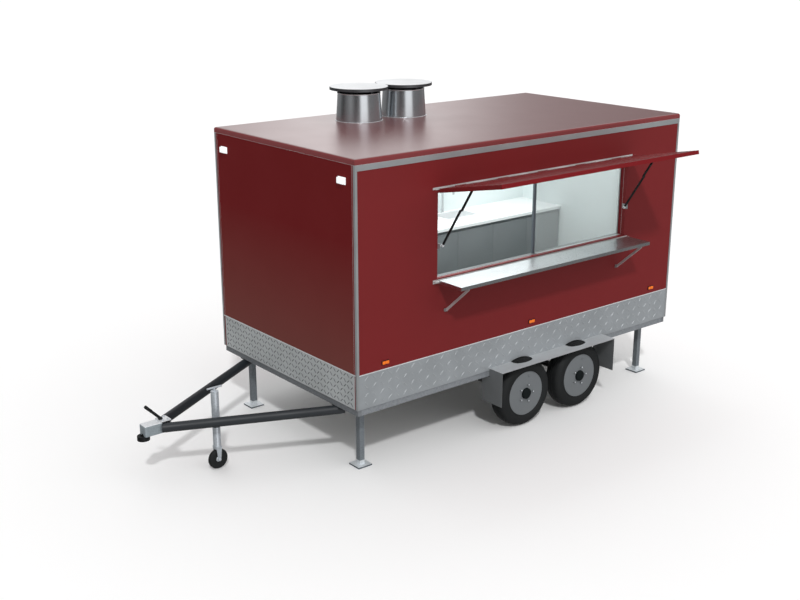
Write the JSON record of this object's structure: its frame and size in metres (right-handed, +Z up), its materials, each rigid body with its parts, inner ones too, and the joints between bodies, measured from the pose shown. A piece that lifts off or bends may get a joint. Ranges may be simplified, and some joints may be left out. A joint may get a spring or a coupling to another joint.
{
  "type": "food concession trailer",
  "caption": "Tandem-axle food concession trailer with lift-up serving hatch on folding stays, fold-down shelf, entrance door, A-frame drawbar and jockey wheel.",
  "frame": {"origin": "centre of the tow-ball socket in the coupler", "axes": "+X forward along the drawbar, +Y to the serving side, +Z up"},
  "size_m": [5.415, 3.0432, 2.983],
  "materials": {
    "rail_grey": "grey satin paint",
    "drawbar": "satin black paint",
    "zinc": "galvanised",
    "black_iron": "black satin",
    "jockey_rubber": "matt",
    "leg_steel": "grey satin paint",
    "floor_board": "sealed board",
    "red_panel": "gloss dark red",
    "tread_plate": "raised tread pattern",
    "roof_panel": "gloss dark red",
    "trim": "satin anodised",
    "frame_grey": "dark grey satin",
    "pane": "clear sheet",
    "stainless": "brushed stainless",
    "worktop_white": "pale gloss laminate",
    "flue": "polished stainless",
    "amber": "amber lens",
    "clear_lens": "clear lens",
    "red_lens": "red lens",
    "tyre": "black rubber",
    "wheel_grey": "grey paint"
  },
  "bodies": {
    "trailer": {"main_rails": "rail_grey", "side_rails": "rail_grey", "cross_members": "rail_grey", "drawbar": "drawbar", "coupler_housing": "zinc", "coupler_socket": "black_iron", "coupler_lever": "black_iron", "jockey_mast": "zinc", "steadies": "leg_steel", "axle_front": "black_iron", "axle_rear": "black_iron", "leaf_springs": "black_iron", "fender_left": "leg_steel", "fender_right": "leg_steel", "floor": "floor_board", "wall_front": "red_panel", "wall_rear": "red_panel", "wall_left": "red_panel", "wall_right": "red_panel", "skirts": "tread_plate", "roof": "roof_panel", "edge_trims": "trim", "window_frame": "frame_grey", "window_glass": "pane", "hatch_hinge": "trim", "window_brackets": "trim", "shelf_hinge": "trim", "door_hinges": "trim", "worktop": "worktop_white", "cabinet": "frame_grey", "sink": "stainless", "tap": "stainless", "vent_stacks": "flue", "vent_caps": "flue", "side_lamps": "amber", "front_lamps": "clear_lens", "tail_lamps": "red_lens"},
    "jockey_swivel": {"jockey_fork": "zinc"},
    "jockey_roller": {"jockey_wheel": "jockey_rubber"},
    "hatch": {"hatch": "red_panel"},
    "stay_uppers": {"stay_uppers": "black_iron"},
    "stay_lowers": {"stay_lowers": "black_iron"},
    "shelf": {"shelf": "stainless"},
    "braces": {"braces": "trim"},
    "entrance_door": {"entrance_door": "red_panel"},
    "road_wheel_front_left": {"tyre_front_left": "tyre", "wheel_front_left": "wheel_grey"},
    "road_wheel_front_right": {"tyre_front_right": "tyre", "wheel_front_right": "wheel_grey"},
    "road_wheel_rear_left": {"tyre_rear_left": "tyre", "wheel_rear_left": "wheel_grey"},
    "road_wheel_rear_right": {"tyre_rear_right": "tyre", "wheel_rear_right": "wheel_grey"}
  },
  "joints": [
    {"name": "spin_front_left", "type": "hinge", "parent": "trailer", "child": "road_wheel_front_left", "pos_m": [-3.247, 1.063, -0.09], "axis": [0, 1, 0], "continuous": true},
    {"name": "spin_front_right", "type": "hinge", "parent": "trailer", "child": "road_wheel_front_right", "pos_m": [-3.247, -1.063, -0.09], "axis": [0, 1, 0], "continuous": true},
    {"name": "spin_rear_left", "type": "hinge", "parent": "trailer", "child": "road_wheel_rear_left", "pos_m": [-3.96, 1.063, -0.09], "axis": [0, 1, 0], "continuous": true},
    {"name": "spin_rear_right", "type": "hinge", "parent": "trailer", "child": "road_wheel_rear_right", "pos_m": [-3.96, -1.063, -0.09], "axis": [0, 1, 0], "continuous": true},
    {"name": "jockey_swivel", "type": "hinge", "parent": "trailer", "child": "jockey_swivel", "pos_m": [-0.596, 0.14, -0.203], "axis": [0, 0, 1], "continuous": true},
    {"name": "jockey_spin", "type": "hinge", "parent": "jockey_swivel", "child": "jockey_roller", "pos_m": [-0.596, 0.14, -0.32], "axis": [0, 1, 0], "continuous": true},
    {"name": "hatch_lift", "type": "hinge", "parent": "trailer", "child": "hatch", "pos_m": [-3.422, 1.086, 1.932], "axis": [1, 0, 0], "range_deg": [-101.4, 0]},
    {"name": "stay_seat_turn", "type": "hinge", "parent": "hatch", "child": "stay_uppers", "pos_m": [-3.422, 1.41109, 1.97919], "axis": [1, 0, 0], "range_deg": [-45.89, 0]},
    {"name": "stay_elbow_turn", "type": "hinge", "parent": "stay_uppers", "child": "stay_lowers", "pos_m": [-3.422, 1.28208, 1.77907], "axis": [1, 0, 0], "range_deg": [0, 180.1]},
    {"name": "shelf_fold", "type": "hinge", "parent": "trailer", "child": "shelf", "pos_m": [-3.422, 1.074, 1.143], "axis": [1, 0, 0], "range_deg": [-85, 0]},
    {"name": "brace_fold", "type": "hinge", "parent": "trailer", "child": "braces", "pos_m": [-3.422, 1.063, 0.874], "axis": [1, 0, 0], "range_deg": [-129.65, 0]},
    {"name": "door_swing", "type": "hinge", "parent": "trailer", "child": "entrance_door", "pos_m": [-1.961, -1.062, 0.242], "axis": [0, 0, 1], "range_deg": [0, 110]}
  ],
  "couplings": [
    {"joint": "stay_seat_turn", "follows": "hatch_lift", "ratio": 0.45159},
    {"joint": "stay_elbow_turn", "follows": "hatch_lift", "ratio": -1.7751},
    {"joint": "brace_fold", "follows": "shelf_fold", "ratio": 1.5241}
  ]
}
